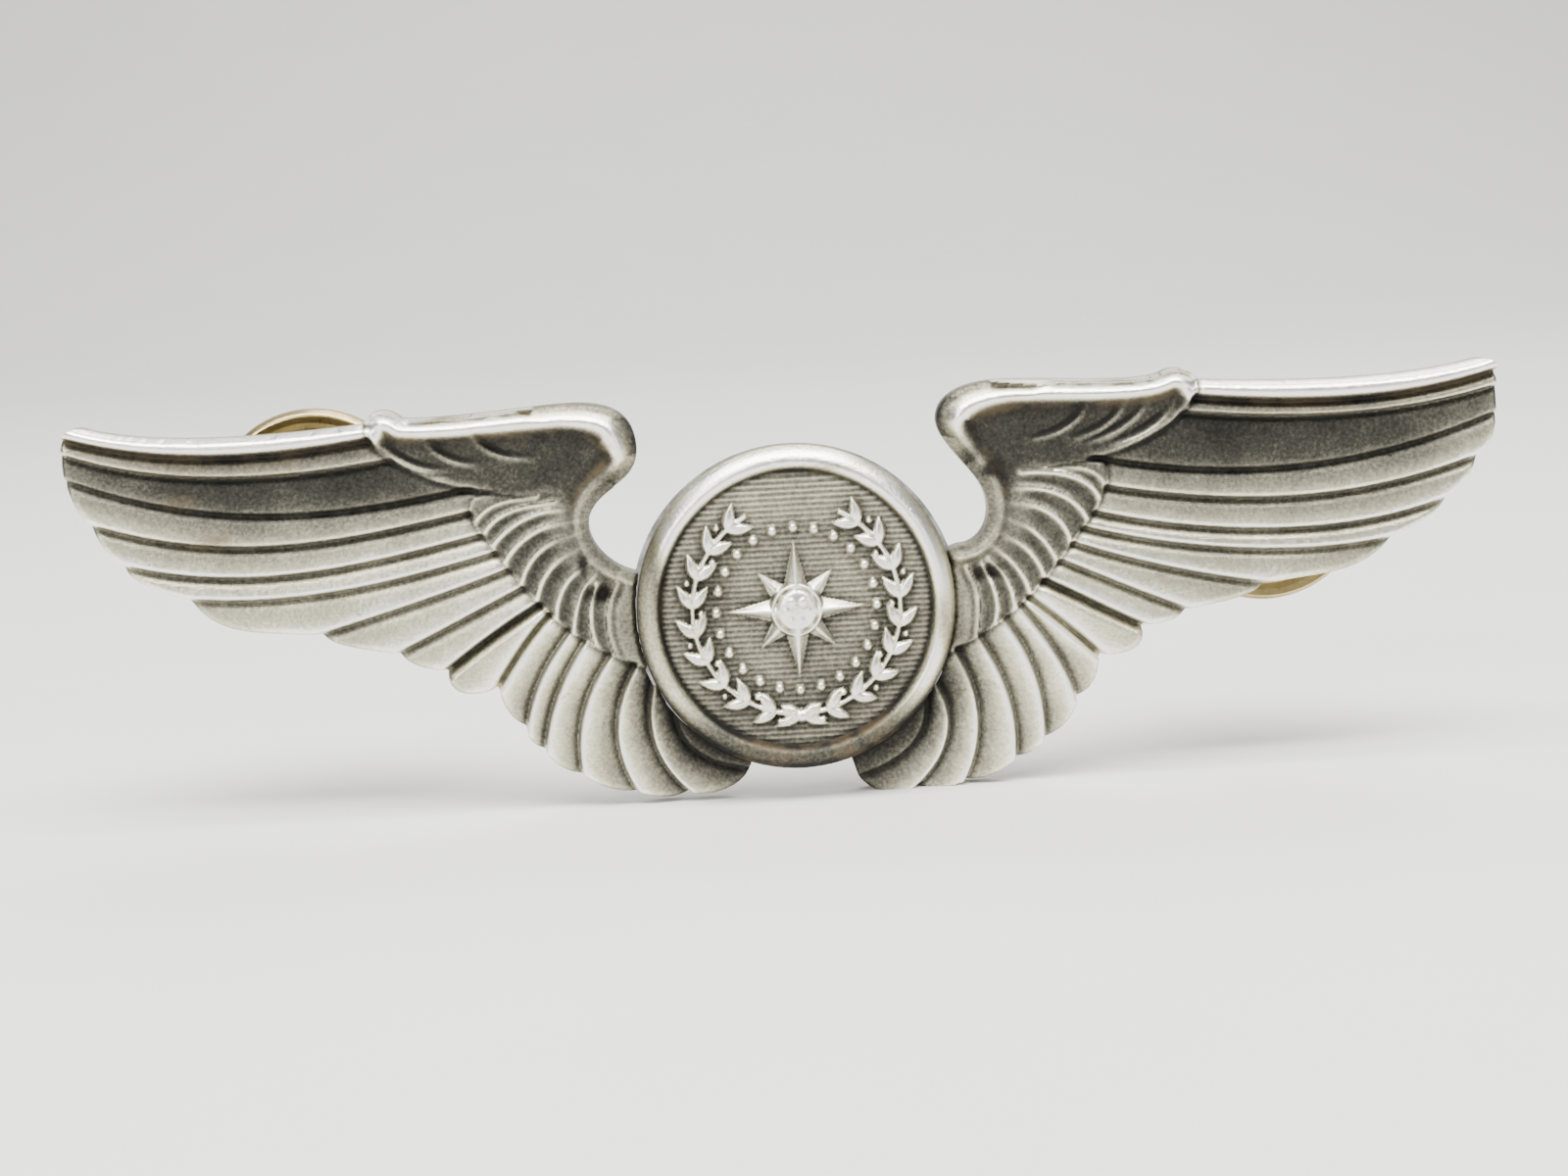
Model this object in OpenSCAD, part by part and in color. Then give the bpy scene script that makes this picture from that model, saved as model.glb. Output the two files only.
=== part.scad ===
// Pilot wings pin: a die-struck pair of wings, an applied round medallion,
// two soldered posts and two butterfly clutches.
// Upright as worn: X across the chest, Z up, the face looks along -Y.
// The origin is on the round land in the middle of the back, on the medallion's axis.

/* [Wings] */
// Tip to tip width of the wings in mm
wing_span = 76.2; // [50:0.1:100]
// Height multiplier of both wings
wing_height_ratio = 1; // [0.8:0.01:1.2]
// Thickness of the sheet under the feather relief in mm
plate_t = 0.7; // [0.5:0.05:1.2]
// Height of the round land in the middle of the back in mm
land_h = 0.2; // [0.1:0.05:0.5]
// Height of a feather's free edge above the back of the wing in mm
feather_h = 1.25; // [0.9:0.05:1.8]
// Slope of each feather from its free edge to its covered edge in degrees
feather_tilt = 13; // [4:1:20]
// Radius of the round leading edge from bend to bump in mm
arm_roll_r = 0.85; // [0.5:0.05:1.2]
// Radius of the round leading edge of the outer wing in mm
tip_roll_r = 0.5; // [0.3:0.05:0.8]
// Depth of the engraved cuts on the arm in mm
cut_depth = 0.3; // [0.1:0.05:0.5]

/* [Medallion] */
// Outer diameter of the medallion in mm
medallion_d = 17.3; // [12:0.1:24]
// Width of the plain rounded rim in mm
rim_w = 1.3; // [0.6:0.1:2.5]
// Thickness of the medallion at its field in mm
medallion_t = 0.9; // [0.5:0.05:1.6]
// Height of the rim above the field in mm
rim_h = 0.65; // [0.2:0.05:1.2]
// Spacing of the horizontal field lines in mm
line_pitch = 0.3; // [0.2:0.05:0.8]
// Outer radius of the eight pointed rose in mm
rose_r = 3.7; // [2:0.1:4]
// Number of beads round the rose
bead_count = 24; // [12:1:36]
// Leaves on each laurel branch
leaf_pairs = 9; // [5:1:12]
// Thickness of the solder film under the medallion in mm
solder_t = 0.12; // [0.05:0.01:0.3]

/* [Posts] */
// Distance of the viewer's left post from the middle of the badge in mm
left_post_x = 25.6; // [15:0.1:32]
// Height of the viewer's left post above the medallion's axis in mm
left_post_z = 5.8; // [2:0.1:7]
// Distance of the viewer's right post from the middle of the badge in mm
right_post_x = 26.5; // [15:0.1:32]
// Height of the viewer's right post above the medallion's axis in mm
right_post_z = 3.7; // [2:0.1:7]
// Diameter of the post's shank in mm
post_d = 1.1; // [0.8:0.05:1.5]
// Length of the post behind the back plane in mm
post_len = 9; // [7:0.1:11]
// Diameter of the post's soldered foot in mm
foot_d = 4.2; // [3:0.1:6]
// Thickness of the post's foot in mm
foot_t = 0.4; // [0.2:0.05:0.8]
// Width of the solder ring round the foot in mm
foot_solder_w = 0.5; // [0.2:0.05:0.8]
// Depth of the three catch grooves in the shank in mm
catch_depth = 0.18; // [0.16:0.01:0.25]
// Spacing of the catch grooves along the shank in mm
catch_pitch = 1.25; // [1.2:0.05:1.5]

/* [Clutches] */
// Diameter of the clutch base over its rolled rim in mm
clutch_d = 11.4; // [9:0.1:13]
// Gap between the badge's back and the clutch in mm
clutch_gap = 2.6; // [1:0.1:4]
// Height of the rolled rim in mm
clutch_rim_h = 1.3; // [0.8:0.1:2]
// Thickness of the brass sheet in mm
sheet_t = 0.3; // [0.2:0.05:0.4]
// Clearance all round the shank where the clutch slides in mm
bore_gap = 0.07; // [0.05:0.01:0.12]
// Lean of the ears away from the post in degrees
ear_lean = 38; // [25:1:50]
// Length of an ear from its bend to its end in mm
ear_len = 5.2; // [4:0.1:6]
// Width of an ear in mm
ear_w = 4.2; // [3:0.1:5]

/* [Hidden] */
$fn = 48;
eps = 0.01;
sx = wing_span / 76.2;
sy = sx * wing_height_ratio;
med_r = medallion_d / 2;
seat_h = 1;
roll_rise = 0.35;
covert_count = 9;
covert_r = 1.1;
med_z = seat_h + solder_t;
field_z = med_z + medallion_t;
shank_r = post_d / 2;
bore_r = shank_r + bore_gap;
catch_w = 0.7;
catch_floor = 0.3;
cup_r = clutch_d / 2;
dish_z = 0.25;
rim_r = 0.35;
frame_z = 0.85;
pivot_x = 2;
pivot_z = 2.75;
pivot_r = 0.32;
pivot_gap = 0.04;
jaw_z = 1.75;
catch_mid = clutch_gap + jaw_z + sheet_t / 2;
cheek_y = 2.1;
cheek_t = 0.3;
silver = [0.74, 0.73, 0.69];
brass = [0.76, 0.62, 0.3];
tin = [0.6, 0.61, 0.62];

// ---------- curves ----------

function bez(b, t) =
    pow(1 - t, 3) * b[0] + 3 * pow(1 - t, 2) * t * b[1]
    + 3 * (1 - t) * t * t * b[2] + pow(t, 3) * b[3];

function curve(b, n = 10) = [for (i = [0:n]) bez(b, i / n)];

function fit(p) = [p[0] * sx, p[1] * sy];

function curve_mm(b, n = 10) = [for (p = curve(b, n)) fit(p)];

function back_to_front(a) = [for (i = [len(a) - 1:-1:0]) a[i]];

// Free (lower) edges of the flight feathers, from the wrist to the tip,
// and the round end of each feather, as cubic curves in mm.
vane = [
    [[21.9, 10.0], [27, 9.3], [33, 9.1], [37.9, 10.6]],
    [[21.7, 9.1], [27, 8.4], [33, 8.3], [38.1, 9.7]],
    [[16.9, 6.9], [23, 5.6], [30, 5.2], [38.1, 8.3]],
    [[16.9, 5.4], [23, 4.1], [30, 3.5], [37.1, 6]],
    [[16.1, 4.1], [21, 2.7], [29.5, 1.6], [35.4, 3.8]],
    [[15.5, 3.3], [20, 1.9], [27, 0.8], [32.4, 1.8]],
    [[14.9, 2.5], [18, 1.3], [22, 0.2], [25.4, -0.3]],
    [[14.2, 1.6], [16.4, 0.6], [18.8, -0.6], [21.1, -1.5]],
    [[13.4, 0.6], [15, -0.2], [17, -1.4], [18.7, -2.2]],
    [[12.6, -0.4], [14, -1.5], [15.2, -2.6], [16.3, -3.7]]
];
vane_end = [
    [[38, 10.4], [38.1, 10.1], [38.1, 9.9], [38.1, 9.7]],
    [[38.1, 9.7], [38.1, 9.2], [38.1, 8.8], [38.1, 8.3]],
    [[38.1, 8.3], [38.1, 7.2], [37.7, 6.4], [37.1, 6]],
    [[37.1, 6], [36.7, 4.9], [36.1, 4.3], [35.4, 3.8]],
    [[35.4, 3.8], [34.9, 2.9], [33.5, 2.4], [32.4, 1.8]],
    [[32.4, 1.8], [30.4, -0.3], [28.6, 0.2], [25.4, -0.3]],
    [[25.4, -0.3], [24.6, -1], [22.8, -1.1], [21.1, -1.5]],
    [[21.1, -1.5], [20.5, -2], [19.6, -2.2], [18.7, -2.2]],
    [[18.7, -2.2], [19, -3.6], [17.4, -3.7], [16.3, -3.7]]
];
// Raised outer edges of the inner feathers and their round lower ends.
inner = [
    [[12.6, -0.4], [14, -1.5], [15.2, -2.6], [16.3, -3.7]],
    [[12.2, -0.9], [13.6, -2.4], [14.9, -3.8], [15, -5.6]],
    [[11.5, -1.7], [13, -3.6], [13.9, -6.1], [13.3, -7.8]],
    [[10.2, -2.4], [11.5, -4.3], [12.4, -6.6], [11.7, -8.8]],
    [[9, -3.2], [10.1, -5.2], [10.5, -7.8], [9, -9.9]],
    [[7.9, -4.2], [8.7, -6.4], [8.3, -8.7], [6.1, -10.2]],
    [[6.8, -5.4], [7, -7.2], [6, -8.7], [3.2, -9.4]]
];
inner_end = [
    [[16.3, -3.7], [16.3, -4.9], [15.7, -5.5], [15, -5.6]],
    [[15, -5.6], [15, -6.5], [14.2, -7.4], [13.3, -7.8]],
    [[13.3, -7.8], [12.9, -8.4], [12.3, -8.7], [11.7, -8.8]],
    [[11.7, -8.8], [11, -9.4], [10, -10], [9, -9.9]],
    [[9, -9.9], [8, -10.4], [7, -10.5], [6.1, -10.2]],
    [[6.1, -10.2], [5.4, -10.6], [3.8, -10.6], [3.2, -9.4]]
];
// Arm: over the bend, along the top to the bump and back under it.
arm_top = [[7.95, 9.6], [7.9, 11.6], [10.3, 11.5], [12, 11.45]];
arm_ridge = [[12, 11.45], [15, 11.35], [18.5, 10.9], [20, 11.35]];
arm_bump = [[20, 11.35], [20.8, 11.9], [21.9, 11.3], [21.9, 10.7]];
arm_under = [[21.9, 10.7], [22, 9], [18.6, 7], [14.5, 6.85]];
arm_wrist = [[14.5, 6.85], [12.2, 6.4], [13, 2.6], [10.2, 1.2]];
neck_in = [[8.9, 2.75], [10.3, 2.7], [11.2, 4.6], [9.9, 6.4]];
neck_out = [[9.9, 6.4], [9, 7.6], [8, 8.6], [7.95, 9.6]];

// ---------- wings ----------

// Slab under a plane that drops from the free edge a-b to its covered side.
module shingle(a, b, side) {
    dir = atan2(b[1] - a[1], b[0] - a[0]);
    translate([a[0], a[1], feather_h])
        rotate([0, 0, dir])
            rotate([side * feather_tilt, 0, 0])
                translate([-60, -60, -20])
                    cube([120, 120, 20]);
}

// One feather: the strip between its free edge and the edge that covers it.
module feather(edge, cover, end, side) {
    e = curve_mm(edge);
    intersection() {
        linear_extrude(3)
            polygon(concat(e, back_to_front(curve_mm(end, 6)), back_to_front(curve_mm(cover))));
        shingle(e[3], e[8], side);
    }
}

module flight_feathers() {
    for (i = [1:9])
        feather(vane[i], vane[i - 1], vane_end[i - 1], -1);
}

module inner_feathers() {
    for (i = [0:5])
        feather(inner[i], inner[i + 1], back_to_front(inner_end[i]), 1);
}

module wing_blank() {
    linear_extrude(plate_t)
        polygon(concat(
            curve_mm(arm_top), curve_mm(arm_ridge, 6), curve_mm(arm_bump, 6),
            curve_mm([[21.9, 10.9], [27, 10.5], [33, 10.3], [37, 11.2]]),
            curve_mm([[37.3, 11.25], [37.8, 11.2], [38.1, 10.8], [38, 10.4]], 4),
            [for (i = [0:8]) each curve_mm(vane_end[i], 6)],
            [for (i = [0:5]) each curve_mm(inner_end[i], 6)],
            [fit([2.6, -7.9]), [0, 0], fit([8, 2.5])],
            curve_mm(neck_in), curve_mm(neck_out)));
}

// Round bar along an arc about c, from angle a0, turning by turn degrees.
module arc_bar(c, r, a0, turn, bar) {
    translate([c[0], c[1], feather_h - bar + roll_rise])
        rotate([0, 0, a0])
            rotate_extrude(angle = turn, $fn = 96)
                translate([r, 0])
                    circle(r = bar, $fn = 32);
}

module leading_edge() {
    // neck round the notch
    arc_bar(fit([8.95, 4.45]), 1.65 * sx + arm_roll_r, -100, 135, arm_roll_r);
    // bend at the top of the neck
    arc_bar(fit([10, 9.45]), 2.05 * sx - arm_roll_r, 90, 125, arm_roll_r);
    // along the top of the arm and the outer wing
    arc_bar(fit([15.5, 90]), (90 - 11.35) * sy + arm_roll_r, -94, 8.4, arm_roll_r);
    arc_bar(fit([30.6, 65]), (65 - 10.45) * sy + tip_roll_r, -99.2, 15.6, tip_roll_r);
}

module arm_body() {
    linear_extrude(feather_h)
        polygon(concat(
            curve_mm(arm_top), curve_mm(arm_ridge, 6), curve_mm(arm_bump, 6),
            curve_mm(arm_under), curve_mm(arm_wrist),
            [fit([8, 1]), fit([8, 2.5])],
            curve_mm(neck_in), curve_mm(neck_out)));
}

// Short curved strokes cut into the field of the arm.
module arm_cuts() {
    for (i = [0:3])
        translate([(12.9 + 1.55 * i) * sx, 11.7 * sy, feather_h])
            rotate([0, 0, -82 + 3 * i])
                rotate_extrude(angle = 46, $fn = 96)
                    translate([3.3, 0])
                        polygon([[-0.22, eps], [0.1, eps], [0, -cut_depth]]);
}

// Row of small overlapping scales between the arm and the flight feathers.
module coverts() {
    for (i = [0:covert_count - 1]) {
        a = bez([[15.4, 5.9], [13.9, 3.9], [12.6, 1.2], [9.6, -0.9]], i / (covert_count - 1));
        translate([a[0] * sx, a[1] * sy, 0])
            rotate([0, 0, -20 - 8.5 * i])
                intersection() {
                    linear_extrude(3)
                        union() {
                            translate([-0.3, 0])
                                circle(r = covert_r);
                            translate([-2, -covert_r])
                                square([1.7, 2 * covert_r]);
                        }
                    translate([0, -0.5, feather_h + roll_rise - 3])
                        sphere(r = 3, $fn = 64);
                }
    }
}

module covert_bed() {
    linear_extrude(feather_h - 0.1)
        polygon(concat(
            curve_mm([[14.2, 7.1], [16.8, 7], [17.6, 5.6], [16.2, 4.1]]),
            curve_mm([[16.2, 4.1], [14.6, 2.2], [13, -1], [8, -3]]),
            [[0, 0], fit([8, 2.4])]));
}

module wing() {
    difference() {
        union() {
            wing_blank();
            flight_feathers();
            inner_feathers();
            covert_bed();
            coverts();
            arm_body();
            leading_edge();
        }
        arm_cuts();
        translate([-5, -60, -10])
            cube([70, 120, 10]);
        translate([0, 0, seat_h])
            cylinder(r = med_r + 0.15, h = 5, $fn = 96);
    }
}

// Stands the front-on drawing upright: its +Z becomes -Y.
module face_on() {
    rotate([90, 0, 0])
        translate([0, 0, land_h])
            children();
}

module wings_plate() {
    color(silver)
        face_on()
            union() {
                wing();
                mirror([1, 0, 0])
                    wing();
                cylinder(r = med_r - 0.4, h = seat_h, $fn = 96);
                translate([0, 0, -land_h])
                    cylinder(r = med_r - 2.2, h = land_h + 0.1, $fn = 96);
            }
}

// ---------- medallion ----------

module rim() {
    rotate_extrude($fn = 128)
        polygon(concat(
            [[med_r - rim_w, med_z], [med_r, med_z], [med_r, field_z - 0.1]],
            [for (a = [0:15:180])
                [med_r - rim_w / 2 + rim_w / 2 * cos(a), field_z - 0.1 + (rim_h + 0.1) * sin(a)]]));
}

module field_lines() {
    n = floor((med_r - rim_w) / line_pitch);
    for (i = [-n:n]) {
        y = i * line_pitch;
        half = sqrt(max(pow(med_r - rim_w + 0.1, 2) - y * y, 0.2));
        translate([-half, y, field_z])
            rotate([90, 0, 90])
                linear_extrude(2 * half)
                    polygon([[-0.08, -0.1], [0.08, -0.1], [0, 0.09]]);
    }
}

// Eight pointed rose with a sharp ridge along every point.
module rose_point(r, w, h) {
    intersection() {
        linear_extrude(2)
            polygon([[0, 0], [w, w * 1.1], [0, r], [-w, w * 1.1]]);
        rotate([0, 28, 0])
            translate([-10, -1, h - 20])
                cube([20, 20, 20]);
        rotate([0, -28, 0])
            translate([-10, -1, h - 20])
                cube([20, 20, 20]);
    }
}

module rose() {
    for (i = [0:3]) {
        rotate([0, 0, 45 + 90 * i])
            rose_point(rose_r * 0.72, 0.5, 0.42);
        rotate([0, 0, 90 * i])
            rose_point(rose_r, 0.62, 0.6);
    }
    intersection() {
        translate([0, 0, -0.6])
            sphere(r = 1.35);
        cylinder(r = 1, h = 2);
    }
}

module beads() {
    for (i = [0:bead_count - 1])
        rotate([0, 0, 360 / bead_count * i])
            translate([rose_r + 0.62, 0, 0])
                sphere(r = 0.26, $fn = 20);
}

// A leaf is the crowned overlap of two round faces.
module leaf(l, w) {
    r = (l * l / 4 + w * w / 4) / w;
    intersection() {
        translate([l / 2, r - w / 2, -0.3])
            cylinder(r = r, h = 2);
        translate([l / 2, w / 2 - r, -0.3])
            cylinder(r = r, h = 2);
        translate([l / 2, 0, 0.4 - 1.5])
            sphere(r = 1.5);
    }
}

module branch() {
    rr = rose_r + 1.9;
    rotate([0, 0, -84])
        rotate_extrude(angle = 142, $fn = 96)
            translate([rr, 0])
                circle(r = 0.16, $fn = 16);
    for (i = [0:leaf_pairs - 1])
        rotate([0, 0, -74 + 128 / (leaf_pairs - 1) * i])
            translate([rr, 0, 0])
                for (s = [-1, 1])
                    rotate([0, 0, 90 + 34 * s])
                        leaf(1.35, 0.62);
}

module medallion() {
    color(silver)
        face_on()
            union() {
                translate([0, 0, med_z])
                    cylinder(r = med_r - rim_w / 2, h = medallion_t, $fn = 128);
                rim();
                field_lines();
                translate([0, 0, field_z - 0.02]) {
                    rose();
                    beads();
                    branch();
                    mirror([1, 0, 0])
                        branch();
                }
            }
}

module medallion_solder() {
    color(tin)
        face_on()
            translate([0, 0, seat_h])
                cylinder(r = med_r + 0.1, h = solder_t, $fn = 128);
}

// ---------- posts ----------

// Nail shaped post along +Z with a point and three catch grooves, the middle one at the jaws.
module post() {
    rotate_extrude()
        polygon(concat(
            [[0, 0], [foot_d / 2, 0], [foot_d / 2, foot_t], [shank_r, foot_t]],
            [for (i = [-1:1], z = catch_mid + i * catch_pitch)
                each [[shank_r, z - catch_w / 2], [shank_r - catch_depth, z - catch_floor / 2],
                    [shank_r - catch_depth, z + catch_floor / 2], [shank_r, z + catch_w / 2]]],
            [[shank_r, post_len - 1.5], [0.12, post_len - 0.05], [0, post_len]]));
}

// Stands what is drawn along +Z on the back of the left or the right wing.
module on_left(gap) {
    translate([-left_post_x, gap - land_h, left_post_z])
        rotate([-90, 0, 0])
            children();
}

module on_right(gap) {
    translate([right_post_x, gap - land_h, right_post_z])
        rotate([-90, 0, 0])
            children();
}

module left_post() {
    color(silver)
        on_left(0)
            post();
}

module right_post() {
    color(silver)
        on_right(0)
            post();
}

// Ring of solder that rises round the foot.
module post_solder() {
    rotate_extrude()
        polygon(concat(
            [[foot_d / 2, 0], [foot_d / 2 + foot_solder_w, 0]],
            [for (a = [0:15:90])
                [foot_d / 2 + foot_solder_w * (1 - sin(a)), foot_t * (1 - cos(a)) + 0.02]]));
}

module left_post_solder() {
    color(tin)
        on_left(0)
            post_solder();
}

module right_post_solder() {
    color(tin)
        on_right(0)
            post_solder();
}

// ---------- clutches ----------

// Dished base with a rolled rim that holds the frame.
module cup() {
    rotate_extrude($fn = 96)
        polygon(concat(
            [[bore_r, dish_z], [bore_r, dish_z + sheet_t], [cup_r - 1, dish_z + sheet_t]],
            [[cup_r - 0.75, dish_z + sheet_t + 0.02], [cup_r - rim_r, 0.75],
                [cup_r - rim_r, clutch_rim_h - 0.18], [cup_r - 0.8, clutch_rim_h - 0.14],
                [cup_r - 0.8, clutch_rim_h]],
            [for (a = [90:-15:-90])
                [cup_r - rim_r * (1 - cos(a)), clutch_rim_h - rim_r * (1 - sin(a))
                    - (a < 0 ? (clutch_rim_h - 2 * rim_r) * sin(-a) : 0)]],
            [[cup_r - 0.7, 0.08], [cup_r - 1, dish_z]]));
}

// Plate held in the rim, with two cheeks that carry the levers.
module frame() {
    difference() {
        union() {
            translate([0, 0, frame_z])
                cylinder(r = cup_r - 0.45, h = sheet_t - 0.05, $fn = 96);
            for (s = [-1, 1])
                translate([-2.9, s * cheek_y - cheek_t / 2, frame_z])
                    cube([5.8, cheek_t, pivot_z - frame_z + 0.75]);
        }
        translate([0, 0, -1])
            cylinder(r = bore_r, h = 6);
        for (s = [-1, 1])
            translate([s * pivot_x, -5, pivot_z])
                rotate([-90, 0, 0])
                    cylinder(r = pivot_r + pivot_gap, h = 10);
        for (s = [-1, 1])
            translate([s * 3.4, -5, pivot_z + 1.1])
                rotate([-90, 0, 0])
                    cylinder(r = 0.9, h = 10);
    }
}

// Thin strip on the frame whose two fingers lie under the jaws.
module spring() {
    difference() {
        union() {
            translate([-1.1, -0.8, frame_z + 0.25])
                cube([2.2, 1.6, 0.12]);
            for (s = [0, 180])
                rotate([0, 0, s])
                    translate([1.05, -0.8, frame_z + 0.25])
                        rotate([0, -9, 0])
                            cube([1.1, 1.6, 0.12]);
        }
        translate([0, 0, -1])
            cylinder(r = bore_r + 0.1, h = 6);
    }
}

// Lever on the +X side: jaw by the shank, barrel in the cheeks, ear outside.
module lever() {
    drop = [pivot_x - 1.05, pivot_z - jaw_z - sheet_t / 2];
    difference() {
        union() {
            translate([pivot_x, -cheek_y - 0.45, pivot_z])
                rotate([-90, 0, 0])
                    cylinder(r = pivot_r, h = 2 * cheek_y + 0.9, $fn = 32);
            translate([pivot_x, -cheek_y + 0.3, pivot_z])
                rotate([-90, 0, 0])
                    cylinder(r = 0.5, h = 2 * cheek_y - 0.6, $fn = 32);
            translate([pivot_x, 0, pivot_z])
                rotate([0, -90 - atan2(drop[1], drop[0]), 0])
                    translate([-sheet_t / 2, -0.9, 0])
                        cube([sheet_t, 1.8, norm(drop)]);
            translate([0.1, -0.9, jaw_z])
                cube([1.05, 1.8, sheet_t]);
            translate([pivot_x, 0, pivot_z])
                rotate([0, ear_lean, 0])
                    ear();
        }
        translate([0, 0, -1])
            cylinder(r = bore_r, h = 6, $fn = 32);
    }
}

// Stem and round paddle with a small hole, standing along +Z.
module ear() {
    difference() {
        union() {
            translate([-sheet_t / 2, -1.4, 0])
                cube([sheet_t, 2.8, ear_len - ear_w / 2]);
            translate([-sheet_t / 2, 0, ear_len - ear_w / 2])
                rotate([0, 90, 0])
                    cylinder(r = ear_w / 2, h = sheet_t, $fn = 64);
        }
        translate([-2, 0, ear_len - ear_w / 2])
            rotate([0, 90, 0])
                cylinder(r = 0.55, h = 4, $fn = 32);
    }
}

module left_cup() {
    color(brass)
        on_left(clutch_gap)
            cup();
}

module left_frame() {
    color(brass)
        on_left(clutch_gap)
            frame();
}

module left_spring() {
    color(tin)
        on_left(clutch_gap)
            spring();
}

module left_lever_in() {
    color(brass)
        on_left(clutch_gap)
            lever();
}

module left_lever_out() {
    color(brass)
        on_left(clutch_gap)
            rotate([0, 0, 180])
                lever();
}

module right_cup() {
    color(brass)
        on_right(clutch_gap)
            cup();
}

module right_frame() {
    color(brass)
        on_right(clutch_gap)
            frame();
}

module right_spring() {
    color(tin)
        on_right(clutch_gap)
            spring();
}

module right_lever_in() {
    color(brass)
        on_right(clutch_gap)
            rotate([0, 0, 180])
                lever();
}

module right_lever_out() {
    color(brass)
        on_right(clutch_gap)
            lever();
}

wings_plate();
medallion();
medallion_solder();
left_post();
right_post();
left_post_solder();
right_post_solder();
left_cup();
left_frame();
left_spring();
left_lever_in();
left_lever_out();
right_cup();
right_frame();
right_spring();
right_lever_in();
right_lever_out();
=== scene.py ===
"""Looks of the pilot wings pin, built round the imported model.

The wings and the medallion are struck reliefs: each is a height over the flat back,
worked out from the curves of its feathers or its device, and meshed on a fine grid.
"""

import math

import bpy
import numpy as np
from mathutils import Matrix, Vector


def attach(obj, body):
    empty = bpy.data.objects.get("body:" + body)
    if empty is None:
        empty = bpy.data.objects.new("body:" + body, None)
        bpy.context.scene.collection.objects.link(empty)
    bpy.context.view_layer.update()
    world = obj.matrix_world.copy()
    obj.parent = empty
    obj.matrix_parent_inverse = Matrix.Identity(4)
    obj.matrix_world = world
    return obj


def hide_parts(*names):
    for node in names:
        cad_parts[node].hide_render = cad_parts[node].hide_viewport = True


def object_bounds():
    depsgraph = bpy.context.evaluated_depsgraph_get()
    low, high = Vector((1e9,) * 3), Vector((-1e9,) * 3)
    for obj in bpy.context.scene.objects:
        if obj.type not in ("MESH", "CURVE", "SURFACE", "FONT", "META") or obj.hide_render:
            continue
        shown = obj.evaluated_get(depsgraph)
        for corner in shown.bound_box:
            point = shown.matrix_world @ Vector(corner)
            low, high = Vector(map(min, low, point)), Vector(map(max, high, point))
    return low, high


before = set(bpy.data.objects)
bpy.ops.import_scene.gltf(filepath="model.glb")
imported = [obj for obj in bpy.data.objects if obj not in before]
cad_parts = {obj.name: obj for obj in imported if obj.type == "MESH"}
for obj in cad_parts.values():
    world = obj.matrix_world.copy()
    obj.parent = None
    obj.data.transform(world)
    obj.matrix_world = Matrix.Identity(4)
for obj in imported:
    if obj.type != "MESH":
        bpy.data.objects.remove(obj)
cad_low, cad_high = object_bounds()

MM = 0.001

# heights in mm over the wings' flat back, which is at y = -LAND
LAND = 0.2                  # height of the round land on the back
GROOVE = 0.6                # bottom of the grooves between feathers
SEAT = 1.0                  # top of the seat under the medallion
CREST = 1.3                 # free edge of a feather
WRIST_Z = 1.36              # smooth wrist inside the small feathers
ARM_EDGE_Z = 0.7            # where the arm's round edge starts
ARM_FIELD_Z = 1.2           # hollow field of the arm
MED_Z = 1.12                # back of the medallion
FIELD_Z = 2.02              # lined field of the medallion
RIM_H = 0.65                # its rim over the field
RIM_SINK = 0.12             # foot of the rim under the field

# the wings, in mm
BRIDGE_IN = 0.35            # the edge between the wings, in from the medallion's edge
VANE_FALL = 0.3             # slope of a feather from its free edge to its covered one
VANE_CROWN = 0.07
LIP_W = 0.22                # soft edge of a feather
FOOT_W = 0.42               # dip where the next feather covers it
ROLL_H = 0.95               # roll along the wing's top, over the grooves
HOLLOW_VANE = 2             # this feather, counted from the top, is dished
WRIST_TONE = 0.5

# the medallion, in mm
MED_R = 8.65
MED_WIDE, MED_TALL = 0.98, 1.01     # it was struck a little oval
RIM_W = 1.3
LINE_PITCH = 0.3
BOSS_R = 1.1
BEADS = 24
BEAD_R = 4.35
BRANCH_R = 5.65
LEAF_PAIRS = 9
LEAF_FIRST, LEAF_PITCH = -76, 15.8      # degrees round the branch
LEAF_LEAN = 0.62                        # radians to either side of the branch

# the round land on the back, in mm
LAND_R = 6.45
LAND_SINK = 0.15            # how far its shell runs into the plate
LAND_SOFT = 0.06            # its softened edge
LAND_SIDES = 96

# meshing and wear, in mm
WING_STEP = 0.09            # mesh spacing of the wings
MED_STEP = 0.06             # mesh spacing of the medallion
SNAP = 0.51                 # a grid point this part of a step from the outline moves onto it
FINE_R, BROAD_R = 0.16, 0.45        # how far round a point its surroundings reach
BACK = {"fine": 0, "broad": 0, "tone": 0.62, "stain": 0.25}     # wear of the flat back

# stains, and spots of painted shade in the creases inside the arm's roll: amount, middle x and z,
# half width and half height
WING_STAINS = [(1.4, -30.5, 5.1, 4.2, 0.5), (1, -32.1, 7.3, 0.8, 0.35)]
WING_CREASE_SHADE = [(-0.75, 10.7, 6.8, 0.45, 0.35), (-0.6, -11.2, 2.8, 0.2, 0.5),
             (-0.3, 9.6, 7.7, 0.5, 0.4), (-0.3, -9.7, 7.6, 0.7, 0.6)]
DISC_STAINS = [(1, 1.2, 7.5, 2.8, 0.35), (1, -7.4, 2.5, 0.4, 2.5), (1, 7.8, -1, 0.4, 1.5)]

# colours of the silver, from black grime and painted shade to polished metal and painted highlight
SILVER_STOPS = [
    (0.0, (0.026, 0.025, 0.022)), (0.2, (0.058, 0.056, 0.046)), (0.42, (0.145, 0.137, 0.106)),
    (0.62, (0.32, 0.303, 0.222)), (0.82, (0.62, 0.588, 0.43)), (0.92, (0.80, 0.765, 0.60)),
    (1.0, (0.97, 0.95, 0.88)),
]

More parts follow.
